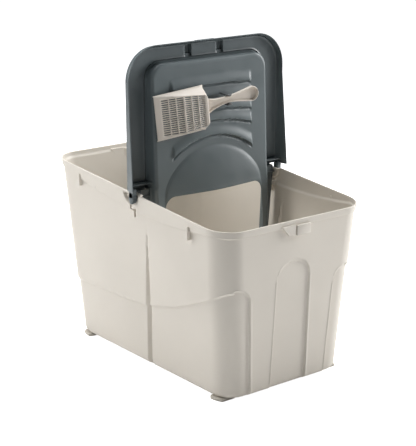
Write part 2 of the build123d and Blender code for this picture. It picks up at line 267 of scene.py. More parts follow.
def plastic(name, colour, roughness, variation=0.05, grain=0.12, edge=0.10):
    """Moulded plastic: slow colour drift, fine spark-eroded grain, uneven gloss, and sharp edges lightened
    towards a paler tint as a painted highlight.
    """
    mat = bpy.data.materials.new(name)
    mat.use_nodes = True
    nodes, links = mat.node_tree.nodes, mat.node_tree.links
    shader = nodes["Principled BSDF"]
    coords = nodes.new("ShaderNodeTexCoord")

    def noise(scale, detail):
        node = nodes.new("ShaderNodeTexNoise")
        node.inputs["Scale"].default_value = scale
        node.inputs["Detail"].default_value = detail
        links.new(coords.outputs["Object"], node.inputs["Vector"])
        return node

    def ramp(source, low, high, from_low=0.3, from_high=0.7):
        node = nodes.new("ShaderNodeMapRange")
        node.inputs["From Min"].default_value = from_low
        node.inputs["From Max"].default_value = from_high
        node.inputs["To Min"].default_value = low
        node.inputs["To Max"].default_value = high
        links.new(source, node.inputs["Value"])
        return node.outputs["Result"]

    drift = noise(5.0, 3.0)
    tint = nodes.new("ShaderNodeMix")
    tint.data_type = "RGBA"
    tint.inputs["A"].default_value = (*[c * (1 - variation) for c in colour], 1)
    tint.inputs["B"].default_value = (*[min(c * (1 + variation), 1) for c in colour], 1)
    links.new(ramp(drift.outputs["Fac"], 0, 1), tint.inputs["Factor"])

    geometry = nodes.new("ShaderNodeNewGeometry")
    # Painted highlight: sharp convex edges, found by pointiness, are mixed towards the paler tint.
    edge_highlight_mix = nodes.new("ShaderNodeMix")
    edge_highlight_mix.data_type = "RGBA"
    pale = [c + (1 - c) * edge for c in colour]
    edge_highlight_mix.inputs["B"].default_value = (*pale, 1)
    links.new(tint.outputs["Result"], edge_highlight_mix.inputs["A"])
    links.new(ramp(geometry.outputs["Pointiness"], 0, 1, 0.52, 0.60), edge_highlight_mix.inputs["Factor"])
    links.new(edge_highlight_mix.outputs["Result"], shader.inputs["Base Color"])

    scuff = noise(38.0, 4.0)
    links.new(ramp(scuff.outputs["Fac"], roughness - 0.06, roughness + 0.06), shader.inputs["Roughness"])
    fine = noise(1400.0, 2.0)
    bump = nodes.new("ShaderNodeBump")
    bump.inputs["Strength"].default_value = grain
    bump.inputs["Distance"].default_value = 0.0004
    links.new(fine.outputs["Fac"], bump.inputs["Height"])
    links.new(bump.outputs["Normal"], shader.inputs["Normal"])
    return mat


# The edge argument sets how strongly sharp edges are lightened, a painted highlight.
TUB_PLASTIC = plastic("tub_plastic", (0.725, 0.677, 0.604), 0.42, variation=0.03, edge=0.04)
# The lid frame and the insert are one plastic: the frame's copy is darker, painted shade for its shadowed
# channel, and the insert's copy is the lighter one.
SHADED_FRAME_PLASTIC = plastic("lid_plastic", (0.108, 0.131, 0.139), 0.34, variation=0.06, edge=0.03)
INSERT_PLASTIC = plastic("insert_plastic", (0.130, 0.157, 0.166), 0.34, variation=0.06, edge=0.03)
SCOOP_PLASTIC = plastic("scoop_plastic", (0.78, 0.715, 0.64), 0.40, variation=0.03, edge=0.05)
CLIP_PLASTIC = plastic("clip_plastic", (0.05, 0.06, 0.065), 0.40, variation=0.06)
PIN_PLASTIC = plastic("pin_plastic", (0.04, 0.045, 0.05), 0.35, variation=0.06)
FOOT_PLASTIC = plastic("foot_plastic", (0.56, 0.52, 0.45), 0.7, variation=0.08, grain=0.3)


# =====================================================================
# tub
# =====================================================================

def rim_height(y):
    return RIM_MID_Z + RIM_SLOPE * y


def band_depth(y):
    arc = np.clip(1 - (y / BAND_ARC_HALF) ** 2, 0, 1)
    return BAND_DEPTH_END + (BAND_DEPTH_HINGE - BAND_DEPTH_END) * arc


def tub_columns():
    """One entry per column round the tub: its place on the rounded rectangle and its outward normal."""
    straight = WALL_HALF - CORNER_HIGH
    side = spaced(-straight[1], straight[1], 3.0, [(POCKET_Y - 32, POCKET_Y + 32, 1.1)]) / straight[1]
    leg_zones = ((-132, -118, 1.0), (-60, -40, 1.0), (40, 60, 1.0), (118, 132, 1.0))
    end = spaced(-straight[0], straight[0], 2.4, leg_zones) / straight[0]
    arc = np.linspace(0, math.pi / 2, 33)[1:-1]
    place, normal = [], []

    def run(values, fixed, axis, nx, ny):
        for v in values:
            place.append((fixed, v) if axis == 1 else (v, fixed))
            normal.append((nx, ny))

    def corner(sx, sy, start):
        for a in arc + start:
            place.append((sx, sy))
            normal.append((math.cos(a), math.sin(a)))

    run(side, 1, 1, 1, 0)
    corner(1, 1, 0)
    run(end[::-1], 1, 0, 0, 1)
    corner(-1, 1, math.pi / 2)
    run(side[::-1], -1, 1, -1, 0)
    corner(-1, -1, math.pi)
    run(end, -1, 0, 0, -1)
    corner(1, -1, 1.5 * math.pi)
    return np.array(place), np.array(normal)


def tub_wall(place, normal, z, grow):
    """Points of the tapering wall at heights z, moved outward by grow."""
    share = (z - FLOOR_Z) / (RIM_MID_Z - FLOOR_Z)
    corner = CORNER_LOW + share * (CORNER_HIGH - CORNER_LOW)
    x = place[:, 0] * (FLOOR_HALF[0] + share * (WALL_HALF - FLOOR_HALF)[0] - corner)
    y = place[:, 1] * (FLOOR_HALF[1] + share * (WALL_HALF - FLOOR_HALF)[1] - corner)
    reach = corner + grow
    return x + normal[:, 0] * reach, y + normal[:, 1] * reach


def pocket_mask(x, y, z, radius):
    """1 inside the half-round hinge pocket of either side wall; a strip of rim crosses its rear part."""
    distance = np.hypot(y - POCKET_Y, z - POCKET_Z)
    mask = smooth((radius - distance) / 1.2) * (np.abs(x) > 150)
    strip = smooth(y - 3.0) * smooth(z - (rim_height(y) - RIM_STRIP))
    return mask * (1 - strip)


def side_line(y):
    """Height under which the side wall is set in, from the front corner to the rear one."""
    places = (-300, -275, -222, -128, -28, 60, 257, 300)
    heights = (244, 236, 209, 172, 147, 140, 136, 134)
    return np.interp(y, places, heights)


def ridge(distance):
    """A narrow bump just outside a step's edge."""
    return np.exp(-((distance + 2.2) / 1.7) ** 2)


def step_in(first, second):
    """The set-in area that is inside two edges, and the raised lip along them."""
    inside_first, inside_second = smooth(first / EDGE), smooth(second / EDGE)
    return inside_first * inside_second, ridge(first) * inside_second + ridge(second) * inside_first


def side_crease(x, y, z):
    """A fold down each long side, wider towards the floor: a steep rear wall and a long front slope."""
    down = np.clip((CREASE_TOP - z) / (CREASE_TOP - CREASE_FULL), 0, 1)
    middle = -45 + 35 * np.clip((CREASE_TOP - z) / 328, 0, 1)
    across = y - middle
    groove = np.where(across > 0, 1 - across / (1.0 + 5.5 * down), 1 + across / (2.0 + 10.0 * down))
    return np.clip(groove, 0, 1) * (np.abs(x) > 150) * np.clip(down * 1.6, 0, 1)


def tub_relief(x, y, z):
    """How far the outer wall is set in: lower side panels, corner arches, centre arches, side crease."""
    ax = np.abs(x)
    front = y < 0
    high = np.where(front, ARCH_TOP, REAR_ARCH_TOP)
    shoulder = np.where(front, 34.0, 24.0)
    arch = high - shoulder + shoulder * np.sqrt(np.clip(1 - ((150 - ax) / 40) ** 2, 0, 1))
    line = np.where(ax < 150, arch, side_line(y))
    leg = 112 - 10 * np.clip((209 - z) / 186, 0, 1)
    panel, panel_lip = step_in(line - z, ax - leg)
    middle_top = ARCH_TOP + 37 * np.sqrt(np.clip(1 - (x / 44) ** 2, 0, 1))
    middle_half = 43 + 4 * np.clip((ARCH_TOP - z) / 240, 0, 1)
    middle, middle_lip = step_in(middle_top - z, middle_half - ax)
    on_end = ax < 141
    lip = np.clip(panel_lip + on_end * middle_lip, 0, 1)
    inset = STEP_INSET * np.maximum(panel, middle * on_end)
    return inset - LIP_PROUD * lip + CREASE_DEPTH * side_crease(x, y, z)


def bulge(x, y, z):
    """The long walls belly out slightly on both sides of the crease."""
    along = np.clip(np.abs(y + 25) / 245, 0, 1)
    up = np.clip((z - FLOOR_Z) / 340, 0, 1)
    return 2.2 * np.sin(math.pi * along) * np.sin(math.pi * up) * (np.abs(x) > 150)


def inner_grow(z, band_low):
    """The inner wall steps out behind the band, so the rim stays thin."""
    return -WALL + (BAND_PROUD - 0.6) * smooth((z - band_low - 2.0) / 3.0)


def tub_shell():
    place, normal = tub_columns()
    zeros = np.zeros(len(place))
    _, y_rim = tub_wall(place, normal, zeros + RIM_MID_Z, 0)
    rim = rim_height(y_rim)
    band_low = rim - band_depth(y_rim)
    rows = []

    def row(z, grow):
        x, y = tub_wall(place, normal, z, grow)
        rows.append((x, y, z + zeros))

    # underside, from its middle out to the rounded lower edge
    for share in (0.0, 0.25, 0.5, 0.75, 0.93):
        x, y = tub_wall(place, normal, zeros + FLOOR_Z, -FOOT_RADIUS)
        rows.append((x * share, y * share, zeros + FLOOR_Z))
    for a in np.linspace(0, math.pi / 2, 8):
        z = zeros + FLOOR_Z + FOOT_RADIUS * (1 - math.cos(a))
        x, y = tub_wall(place, normal, z, 0)
        row(z, -FOOT_RADIUS * (1 - math.sin(a)) - tub_relief(x, y, z) * min(a, 1))
    # outer wall up to the band
    foot = FLOOR_Z + FOOT_RADIUS + 1.5
    for t in np.linspace(0, 1, 124):
        z = foot + t * (band_low - foot - BAND_SOFT)
        x, y = tub_wall(place, normal, z, 0)
        pressed = tub_relief(x, y, z) + slits(x, y, z) + pocket_inset(x, y, z, normal)
        row(z, bulge(x, y, z) * (1 - t ** 6) - pressed)
    # band
    for a in np.linspace(0, math.pi / 2, 4):
        z = band_low - BAND_SOFT + 2 * BAND_SOFT * (1 - math.cos(a))
        grow = BAND_PROUD * math.sin(a)
        x, y = tub_wall(place, normal, z, grow)
        row(z, grow - pocket_inset(x, y, z, normal) - slits(x, y, z))
    for t in np.linspace(0, 1, 26)[1:]:
        z = band_low + BAND_SOFT + t * (rim - RIM_ROUND - band_low - BAND_SOFT)
        x, y = tub_wall(place, normal, z, BAND_PROUD)
        row(z, BAND_PROUD - pocket_inset(x, y, z, normal) - slits(x, y, z))
    # rounded rim
    for a in np.linspace(0, math.pi, 9)[1:]:
        z = rim - RIM_ROUND + RIM_ROUND * math.sin(a)
        x, y = tub_wall(place, normal, z, BAND_PROUD)
        outer = BAND_PROUD - pocket_inset(x, y, z, normal)
        inner = inner_grow(z, band_low) - pocket_inset(x, y, z, normal, WALL)
        middle, half = (outer + inner) / 2, (outer - inner) / 2
        row(z, middle + half * math.cos(a))
    # inner wall and floor; it follows the outer wall's relief
    inner_foot = FLOOR_Z + INNER_FLOOR + INNER_FOOT_RADIUS
    for t in np.concatenate([np.linspace(0, 0.12, 26)[1:], np.linspace(0.127, 1, 110)]):
        z = rim - RIM_ROUND - t * (rim - RIM_ROUND - inner_foot)
        grow = inner_grow(z, band_low)
        x, y = tub_wall(place, normal, z, grow)
        pressed = pocket_inset(x, y, z, normal, WALL) + slits(x, y, z, WALL)
        row(z, grow - tub_relief(x, y, z) * (z < band_low) - pressed)
    for a in np.linspace(0, math.pi / 2, 6)[1:]:
        z = zeros + inner_foot - INNER_FOOT_RADIUS * math.sin(a)
        x, y = tub_wall(place, normal, z, 0)
        row(z, -WALL - INNER_FOOT_RADIUS * (1 - math.cos(a)) - tub_relief(x, y, z) * math.cos(a))
    for share in (0.93, 0.75, 0.5, 0.25, 0.0):
        x, y = tub_wall(place, normal, zeros + FLOOR_Z + INNER_FLOOR, -WALL - INNER_FOOT_RADIUS)
        rows.append((x * share, y * share, zeros + FLOOR_Z + INNER_FLOOR))
    stack = np.array(rows)
    return Shape().tube(stack[:, 0], stack[:, 1], stack[:, 2])


def slits(x, y, z, wall=0.0):
    """The narrow slots moulded under each hinge pocket; wall widens them for the inner skin."""
    def slot(y_from, y_to, z_from, z_to):
        inside_y = smooth((y - y_from + wall) / 0.6) * smooth((y_to + wall - y) / 0.6)
        return inside_y * smooth((z - z_from + wall) / 0.9) * smooth((z_to + wall - z) / 0.9)

    shape = slot(2.0, 6.8, 355, 370) + slot(-6.4, -1.6, 340, 357) + slot(-12.5, -4.5, 352.5, 357.5)
    return 8.0 * np.clip(shape, 0, 1) * (np.abs(x) > 150)


def pocket_inset(x, y, z, normal, wall=0.0):
    """How far a wall layer moves in to become the pocket's back."""
    target = POCKET_BACK - wall
    depth = np.clip(np.abs(x) - target, 0, None)
    return depth * pocket_mask(x, y, z, POCKET_RADIUS + wall) * np.abs(normal[:, 0])


def tub_details(shape):
    """Ribs under the band of the long sides, and the catch on each end."""
    side = Shape()
    for y in (-193.0, 193.0):
        top = rim_height(y) - 14
        side.block((188.5, y - 1.7, top - 27), (197.6, y + 1.7, top), 1.0)
    top = rim_height(135.0) - 22
    side.block((188.5, 133.8, top - 9), (194.4, 136.2, top), 0.9)
    shape.mirrored(side)
    for sign in (-1, 1):
        wall = sign * WALL_HALF[1]
        drop = rim_height(wall) - rim_height(-WALL_HALF[1])
        outline = [(-43, 359 + drop), (-25, 338 + drop), (-7, 336 + drop), (-7, 359 + drop)]
        shape.prism(outline, wall - sign * 2.5, wall + sign * 4.5)
        low = (-5.2, min(wall - sign * 3, wall + sign * 6), 335 + drop)
        high = (31, max(wall - sign * 3, wall + sign * 6), 357 + drop)
        shape.block(low, high, 1.4)
    return shape


# =====================================================================
# hood frame
# =====================================================================

def u_path(half, top, corner):
    """Points and outward normals up the left side, over the top and down the right.

    Every such outline has the same number of points, so that two of them can be joined.
    """
    points, normals = [], []
    rise = np.linspace(0, 1, RISE_STEPS)
    angles = np.linspace(math.pi, math.pi / 2, ARC_STEPS)[1:-1]
    for t in rise:
        points.append((-half, SKIRT_END_Z + t * (top - corner - SKIRT_END_Z)))
        normals.append((-1, 0))
    for a in angles:
        points.append((corner - half + corner * math.cos(a), top - corner + corner * math.sin(a)))
        normals.append((math.cos(a), math.sin(a)))
    for t in np.linspace(-1, 1, ACROSS_STEPS):
        points.append((t * (half - corner), top))
        normals.append((0, 1))
    for a in angles[::-1]:
        points.append((half - corner - corner * math.cos(a), top - corner + corner * math.sin(a)))
        normals.append((-math.cos(a), math.sin(a)))
    for t in rise[::-1]:
        points.append((half, SKIRT_END_Z + t * (top - corner - SKIRT_END_Z)))
        normals.append((1, 0))
    return np.array(points, float), np.array(normals, float)


def flute(x, z):
    """Depth of the two finger flutes pressed into the top bar."""
    depth = 0
    for centre in (-FLUTE_X, FLUTE_X):
        across = x - centre
        left = smooth((across + 7.0) / 5.0)
        right = smooth((6.5 - across) / 1.2)
        narrow = np.clip((z - 648) / 16, 0, 1)
        depth = depth + left * right * narrow * smooth((684.5 - z) / 2.0)
    return FLUTE_DEPTH * depth


def skirt_depth(z):
    return np.interp(z, [SKIRT_END_Z, SKIRT_EVEN_Z], [SKIRT_DEPTH_HINGE, SKIRT_DEPTH_TOP])


def frame_shell():
    outer, normal = u_path(LID_HALF, LID_TOP, LID_CORNER)
    window, _ = u_path(WINDOW_HALF, WINDOW_TOP, WINDOW_CORNER)
    rows = []

    def row(points, y):
        rows.append((points[:, 0], y + np.zeros(len(points)), points[:, 1]))

    def skirt_row(share, layer):
        """A line down the skirt: share 0 at the plate, 1 at the free edge."""
        drop = share * (skirt_depth(outer[:, 1]) - SKIN)
        grow = SKIRT_FLARE * drop - layer
        row(outer + normal * grow[:, None], PLATE_BACK - drop - SKIRT_SET)

    shares = np.linspace(0, 1, 26)
    # front face of the plate, from the window out to the skirt
    for share in shares:
        base = window + (outer - normal * FACE_MARGIN - window) * share
        bead = -1.0 * smooth((0.05 - share) / 0.03)
        row(base, PLATE_FRONT + bead + flute(base[:, 0], base[:, 1]))
    # fillet into the inner face of the skirt
    for a in np.linspace(0, math.pi / 2, 5)[1:]:
        base = outer - normal * (SKIN + INNER_FILLET * (1 - math.sin(a)))
        row(base, PLATE_FRONT - INNER_FILLET * (1 - math.cos(a)))
    for share in (0.3, 0.5, 0.7, 0.9, 0.98):
        skirt_row(share, SKIN)
    # rounded free edge
    depth = skirt_depth(outer[:, 1]) - SKIN
    for a in np.linspace(0, math.pi, 6)[1:-1]:
        grow = SKIRT_FLARE * depth - SKIN / 2 - SKIN / 2 * math.cos(a)
        row(outer + normal * grow[:, None], PLATE_BACK - depth - SKIRT_SET - 1.4 * math.sin(a))
    for share in (0.98, 0.9, 0.7, 0.5, 0.3, 0.12):
        skirt_row(share, 0)
    # rounded shoulder to the plate's back
    for a in np.linspace(0, math.pi / 2, 7)[1:]:
        base = outer - normal * (SHOULDER * (1 - math.cos(a)))
        row(base, PLATE_BACK - SHOULDER + SHOULDER * math.sin(a))
    for share in shares[::-1]:
        base = window + (outer - normal * FACE_MARGIN - window) * share
        row(base, PLATE_BACK + flute(base[:, 0], base[:, 1]))
    stack = np.array(rows)
    cols = stack.shape[2]
    shape = Shape().tube(stack[:, 0].T, stack[:, 1].T, stack[:, 2].T)
    count = stack.shape[0]
    shape.faces.append(list(range(count))[::-1])
    shape.faces.append(list(range((cols - 1) * count, cols * count)))
    return shape


def tapered_outline(top_z, half, end_half, end_z, corner_top, corner_end, count=560):
    """Closed (x, z) loop, straight above the hinge and narrowing to the lower end, evenly spaced."""
    right = [(0, top_z), (half - corner_top, top_z)]
    for a in np.linspace(math.pi / 2, 0, 14):
        right.append((half - corner_top * (1 - math.cos(a)), top_z - corner_top * (1 - math.sin(a))))
    right.append((half, HINGE_Z))
    slope = (half - end_half) / (HINGE_Z - end_z)
    start = np.array([end_half + slope * corner_end - 0.5, end_z + corner_end])
    right.append(tuple(start))
    for a in np.linspace(0, -math.pi / 2, 14)[1:]:
        right.append((start[0] - corner_end * (1 - math.cos(a)), start[1] + corner_end * math.sin(a)))
    right.append((0, end_z))
    loop = np.array(right + [(-x, z) for x, z in right[::-1][1:]])
    step = np.r_[0, np.cumsum(np.hypot(*np.diff(loop, axis=0).T))]
    even = np.linspace(0, step[-1], count, endpoint=False)
    return np.stack([np.interp(even, step, loop[:, 0]), np.interp(even, step, loop[:, 1])], -1)


def loop_normals(loop):
    ahead = np.roll(loop, -1, axis=0) - np.roll(loop, 1, axis=0)
    normal = np.stack([-ahead[:, 1], ahead[:, 0]], -1)
    return normal / np.linalg.norm(normal, axis=1)[:, None]


def rail_edges():
    """Inner and outer edge of the lower half's flat rim, from the right hinge round to the left one."""
    inner = tapered_outline(RAIL_TOP_Z, PAN_HALF + RAIL_GAP, PAN_HALF_END + RAIL_GAP, PAN_END_Z - RAIL_GAP,
                            1.0, PAN_CORNER + RAIL_GAP)
    inner = inner[inner[:, 1] < RAIL_TOP_Z - 0.1]
    outer = tapered_outline(RAIL_TOP_Z, RAIL_HALF, RAIL_HALF_END, RAIL_END_Z, 1.0, RAIL_CORNER)
    outer = outer[(outer[:, 1] <= RAIL_TOP_Z - 0.5) | (np.abs(outer[:, 0]) >= RAIL_HALF - 4)]
    reach = np.r_[0, np.cumsum(np.hypot(*np.diff(inner, axis=0).T))]
    even = np.linspace(0, reach[-1], len(outer))
    return np.stack([np.interp(even, reach, inner[:, k]) for k in (0, 1)], -1), outer


def rails():
    """The flat rim of the lower half, from the hinge round its lower end."""
    back, front, soft = RAIL_BACK, RAIL_BACK - RAIL_THICK, RAIL_SOFT
    # each corner of the section: which edge, how far it moves towards the outer edge, and its depth
    section = ((0, 0, back - soft), (0, 0, front + soft), (0, soft, front), (1, -soft, front),
               (1, 0, front + soft), (1, 0, back - soft), (1, -soft, back), (0, soft, back))
    rings = []
    for inner, outer in zip(*rail_edges()):
        width = np.linalg.norm(outer - inner)
        ring = []
        for edge, shift, y in section:
            x, z = inner + (outer - inner) * (edge + shift / width)
            ring.append((x, y, z))
        rings.append(ring)
    return Shape().ring_loft(rings)


def disc_rings(x_from, x_to, radius, soft=1.2, count=40):
    """Rings of a rounded disc whose axis runs along X."""
    angles = np.linspace(0, 2 * math.pi, count, endpoint=False)
    turn = np.linspace(0, math.pi / 2, 4)
    steps = [(x_from, radius - soft)]
    steps += [(x_from + soft * (1 - math.cos(a)), radius - soft + soft * math.sin(a)) for a in turn[1:]]
    steps += [(x_to - soft * (1 - math.sin(a)), radius - soft + soft * math.cos(a)) for a in turn]
    return np.array([[(x, r * math.cos(a), r * math.sin(a)) for a in angles] for x, r in steps])


def frame_side():
    """What stands at each hinge: boss, arm, cheek, web and two stiffening ribs, drawn at +X."""
    side = Shape()
    side.ring_loft(disc_rings(191.0, 202.4, BOSS_RADIUS, 1.6) * [1, BOSS_NARROW, 1] + [0, BOSS_Y, HINGE_Z])
    half = BOSS_RADIUS * BOSS_NARROW
    side.block((191.6, BOSS_Y - half, HINGE_Z - 1), (202.4, BOSS_Y + half, 401), 1.6)
    side.block((177, -14, 370), (180.5, 5.4, 397), 1.2)
    side.block((PAN_HALF + 3, 1.6, 376), (184, 5.2, 402), 0.8)
    for z in (382.0, 408.5):
        side.block((PAN_HALF - 6, -14.5, z - 1.0), (199.0, 1.5, z + 1.0), 0.6)
    return side


# =====================================================================
# entry insert
# =====================================================================

def hole_point(theta):
    """Where a ray from the hole's middle leaves the rounded hole."""
    half = np.array([HOLE_HALF, (HOLE_TOP - HOLE_BOTTOM) / 2])
    direction = np.array([math.cos(theta), math.sin(theta)])
    low, high = 0.0, 400.0
    for _ in range(40):
        mid = (low + high) / 2
        past = np.abs(direction * mid) - (half - HOLE_CORNER)
        inside = np.hypot(*np.maximum(past, 0)) + min(past.max(), 0) < HOLE_CORNER
        if inside:
            low = mid
        else:
            high = mid
    return direction * low + [0, HOLE_CENTRE_Z]


def face_y(x, z):
    """The sloping face of the insert: arched ridges, and the awning over the hole with its border step."""
    heights, depths = zip(*FACE_Y[::-1])
    y = np.interp(z, heights, depths)
    for top, radius in RIDGES:
        centre_z = top - radius
        distance = np.hypot(x, z - centre_z) - radius
        reach = smooth((RIDGE_HALF - np.abs(x)) / 3) * (z > centre_z)
        y = y - RIDGE_PROUD * reach * smooth((distance + 2.6) / 0.9) * smooth((11.0 - distance) / 11.0)
        y = y + RIDGE_GROOVE * reach * smooth(distance + 7.2) * smooth((-2.6 - distance) / 0.9)
    above = z - AWNING_Z
    q = np.sqrt((x / AWNING_HALF) ** 2 + (above / AWNING_RISE) ** 2)
    awning = np.clip(1 - q, 0, 1) ** 0.75 * smooth(above / 20)
    border = smooth((1.02 - q) / 0.02) * (above > 0) * smooth((128 - np.abs(x)) / 4)
    return y - AWNING_PROUD * awning - 1.2 * border


def insert_shell():
    outline = tapered_outline(PAN_TOP, PAN_HALF, PAN_HALF_END, PAN_END_Z, PAN_CORNER, PAN_CORNER)
    out = loop_normals(outline)
    if np.dot(out[0], outline[0] - [0, HOLE_CENTRE_Z]) < 0:
        out = -out
    theta = np.arctan2(outline[:, 1] - HOLE_CENTRE_Z, outline[:, 0])
    hole = np.array([hole_point(t) for t in theta])
    rows = []

    def edge_row(inset, y):
        """Ring at a distance inside the outline, at depth y measured from the lid's plate."""
        points = outline - out * np.broadcast_to(inset, len(outline))[:, None]
        rows.append((points[:, 0], y, points[:, 1]))

    upper = outline[:, 1] > PAN_LIP_FROM_Z
    base_y = np.where(upper, 1.6, -12.6)
    corner_y = face_y(outline[:, 0], outline[:, 1])
    # bead round the foot of the wall, then the drafted wall
    for inset, rise in ((-0.6, 3.0), (-1.0, 0.0), (-0.4, -1.6), (0.2, -2.0)):
        edge_row(inset, base_y + rise)
    for share in np.linspace(0.05, 1, 7):
        y = base_y - 2.0 + (corner_y + PAN_FILLET - base_y + 2.0) * share
        edge_row(0.2 + PAN_DRAFT * (base_y - y), y)
    wall_inset = 0.2 + PAN_DRAFT * (base_y - corner_y - PAN_FILLET)
    for a in np.linspace(0, math.pi / 2, 7)[1:]:
        edge_row(wall_inset + PAN_FILLET * (1 - math.cos(a)), corner_y + PAN_FILLET * (1 - math.sin(a)))
    rim = outline - out * (wall_inset + PAN_FILLET)[:, None]
    for share in np.linspace(0, 1, 122)[1:]:
        p = rim + (hole - rim) * share
        rows.append((p[:, 0], face_y(p[:, 0], p[:, 1]), p[:, 1]))
    # rounded edge of the hole, back to the tread side
    toward = hole - rim
    toward = toward / np.linalg.norm(toward, axis=1)[:, None]
    hole_y = face_y(hole[:, 0], hole[:, 1])
    for a in np.linspace(0, math.pi, 6)[1:-1]:
        p = hole + toward * (PAN_SKIN / 2 * math.sin(a))
        rows.append((p[:, 0], hole_y + PAN_SKIN / 2 * (1 - math.cos(a)), p[:, 1]))
    for share in np.linspace(1, 0, 100):
        p = rim + (hole - rim) * share
        rows.append((p[:, 0], face_y(p[:, 0], p[:, 1]) + PAN_SKIN, p[:, 1]))
    # the fillet and the wall seen from behind, out to the lip behind the lid's plate
    soft = PAN_FILLET - PAN_SKIN
    for a in np.linspace(math.pi / 2, 0, 6)[1:]:
        edge_row(wall_inset + PAN_FILLET - soft * math.sin(a), corner_y + PAN_FILLET - soft * math.sin(a))
    top_y = np.where(upper, PLATE_BACK + 2.4, -7.0)
    for share in np.linspace(0.1, 1, 6):
        y = corner_y + PAN_FILLET + (top_y - 1.5 - corner_y - PAN_FILLET) * share
        edge_row(PAN_SKIN + PAN_DRAFT * (base_y - y), y)
    for inset, drop in ((0.8, 0.0), (-8.2, 0.0), (-9.0, 0.8), (-9.0, 1.6), (-8.2, 2.35), (-0.6, 2.35)):
        edge_row(inset, top_y - drop)
    stack = np.array(rows)
    stack = np.concatenate([stack, stack[:1]])
    return Shape().tube(stack[:, 0], stack[:, 1], stack[:, 2])


# =====================================================================
# scoop and clip
# =====================================================================

def scoop_place(points):
    """From the scoop's own axes (along, away from the lid, across) to the row frame."""
    u, depth, w = points[:, 0], points[:, 1], points[:, 2]
    turned = np.stack([u * math.cos(SCOOP_TURN) + depth * math.sin(SCOOP_TURN),
                       -u * math.sin(SCOOP_TURN) + depth * math.cos(SCOOP_TURN), w], -1)
    tilt = np.array(Matrix.Rotation(-SCOOP_TILT, 3, "Y"))
    return turned @ tilt.T + SCOOP_TIP


def along_head(u, values):
    return float(np.interp(u, [0, BEND_U, HEAD_LENGTH], values))


def head_row(u, slot_edges):
    """One line across the head, from rim to rim: side wall, plate and slot edges, side wall."""
    depth, plate = along_head(u, HEAD_DEPTH), along_head(u, PLATE_HALF)
    back = max(u - (HEAD_LENGTH - HEAD_CORNER), 0)
    plate -= HEAD_CORNER - math.sqrt(HEAD_CORNER ** 2 - back ** 2)
    depth -= 4 - math.sqrt(16 - max(u - (HEAD_LENGTH - 4), 0) ** 2)
    scale = min((plate - 2.5) / (SLOT_ROWS / 2 * SLOT_PITCH), 1.0)
    wall = [(HEAD_HALF, 0.0)]
    for t in np.linspace(0, 1, WALL_STEPS)[1:]:
        wall.append((HEAD_HALF + (plate - HEAD_HALF) * t, -depth * (1 - (1 - t) ** 1.3) * 0.9))
    wall.append((plate - 1.5, -depth))
    row = [(u, d, -w) for w, d in wall]
    row += [(u, -depth, w * scale) for w in slot_edges]
    return row + [(u, d, w) for w, d in wall[::-1]]


def scoop_head():
    """A slotted, bent plate with flared side walls and a closed end, open towards the lid."""
    us = [0, 1.5, 5, 9]
    for start, end in SLOT_COLUMNS:
        us += [start, (start + end) / 2, end]
    us += [HEAD_LENGTH - back for back in (7, 5, 3.2, 1.8, 0.7, 0)]
    slot_edges = []
    for k in range(SLOT_ROWS):
        middle = (k - (SLOT_ROWS - 1) / 2) * SLOT_PITCH
        slot_edges += [middle - SLOT_WIDTH / 2, middle + SLOT_WIDTH / 2]
    rows = [head_row(u, slot_edges) for u in us]
    # end wall: the plate's last line carried down to the rim
    last = np.array(rows[-1])
    for share in (0.25, 0.5, 0.75, 1.0):
        rows.append(last * [1, 1 - share, 1] + [3.0 * share, 0, 0])
    grid = np.array(rows, float)
    first_slot = WALL_STEPS + 1
    slots = set()
    for start, end in SLOT_COLUMNS:
        open_rows = [r for r in range(len(us) - 1) if start <= us[r] < end]
        slots.update((r, first_slot + 2 * k) for r in open_rows for k in range(SLOT_ROWS))
    cols = grid.shape[1]
    faces = []
    for r in range(grid.shape[0] - 1):
        for c in range(cols - 1):
            if (r, c) not in slots:
                faces.append([r * cols + c, r * cols + c + 1, (r + 1) * cols + c + 1, (r + 1) * cols + c])
    return Shape().add(grid.reshape(-1, 3), faces)


def handle_loop():
    """Neck, waist and round end, as an (along, across) loop."""
    start, end = HEAD_LENGTH + 1.0, HEAD_LENGTH + 1.0 + HANDLE_REACH
    us = np.linspace(start, end, 48)
    t = (us - start) / (end - start)
    half = np.interp(t, *zip(*HANDLE_HALVES))
    for _ in range(30):
        half[1:-1] = (half[:-2] + 2 * half[1:-1] + half[2:]) / 4
    round_end = half[-1]
    upper = list(zip(us, half))
    arc = np.linspace(0, math.pi, 28)[1:-1]
    tip = [(end + round_end * math.sin(a), round_end * math.cos(a)) for a in arc]
    lower = [(u, -h) for u, h in upper[::-1]]
    loop = np.array(upper + tip + lower)
    loop[:, 1] += HANDLE_RISE * (0.25 + 0.75 * np.clip((loop[:, 0] - start) / 55, 0, 1))
    return loop


def scoop_handle():
    loop = handle_loop()
    normal = loop_normals(loop)
    round_end = loop[:, 0].argmax()
    if normal[round_end, 0] < 0:
        normal = -normal
    rings = []
    for inset, y in ((1.0, -2.0), (0.2, -2.4), (0.0, -3.4), (0.0, -8.8), (0.3, -9.6), (0.9, -10.0),
                     (1.5, -9.8), (1.9, -9.2), (2.3, -4.6), (3.0, -3.8)):
        points = loop - normal * inset
        rings.append(np.stack([points[:, 0], np.full(len(points), y), points[:, 1]], -1))
    return Shape().ring_loft(rings)


def clip_shape():
    """Two springy jaws with hooked tips over the waist of the handle."""
    shape = Shape()
    for sign in (-1, 1):
        z = sign * 10.6 + HANDLE_RISE
        shape.block((CLIP_U - 6.5, -12.5, z - 1.4), (CLIP_U + 6.5, 16, z + 1.4), 0.9)
        hook = [(CLIP_U - 5, z + sign * 1.2), (CLIP_U + 5, z + sign * 1.2),
                (CLIP_U + 2.5, z - sign * 3.2), (CLIP_U - 2.5, z - sign * 3.2)]
        shape.prism(hook, -11.4, -15.4, 0.7)
    return shape


# =====================================================================
# the object
# =====================================================================

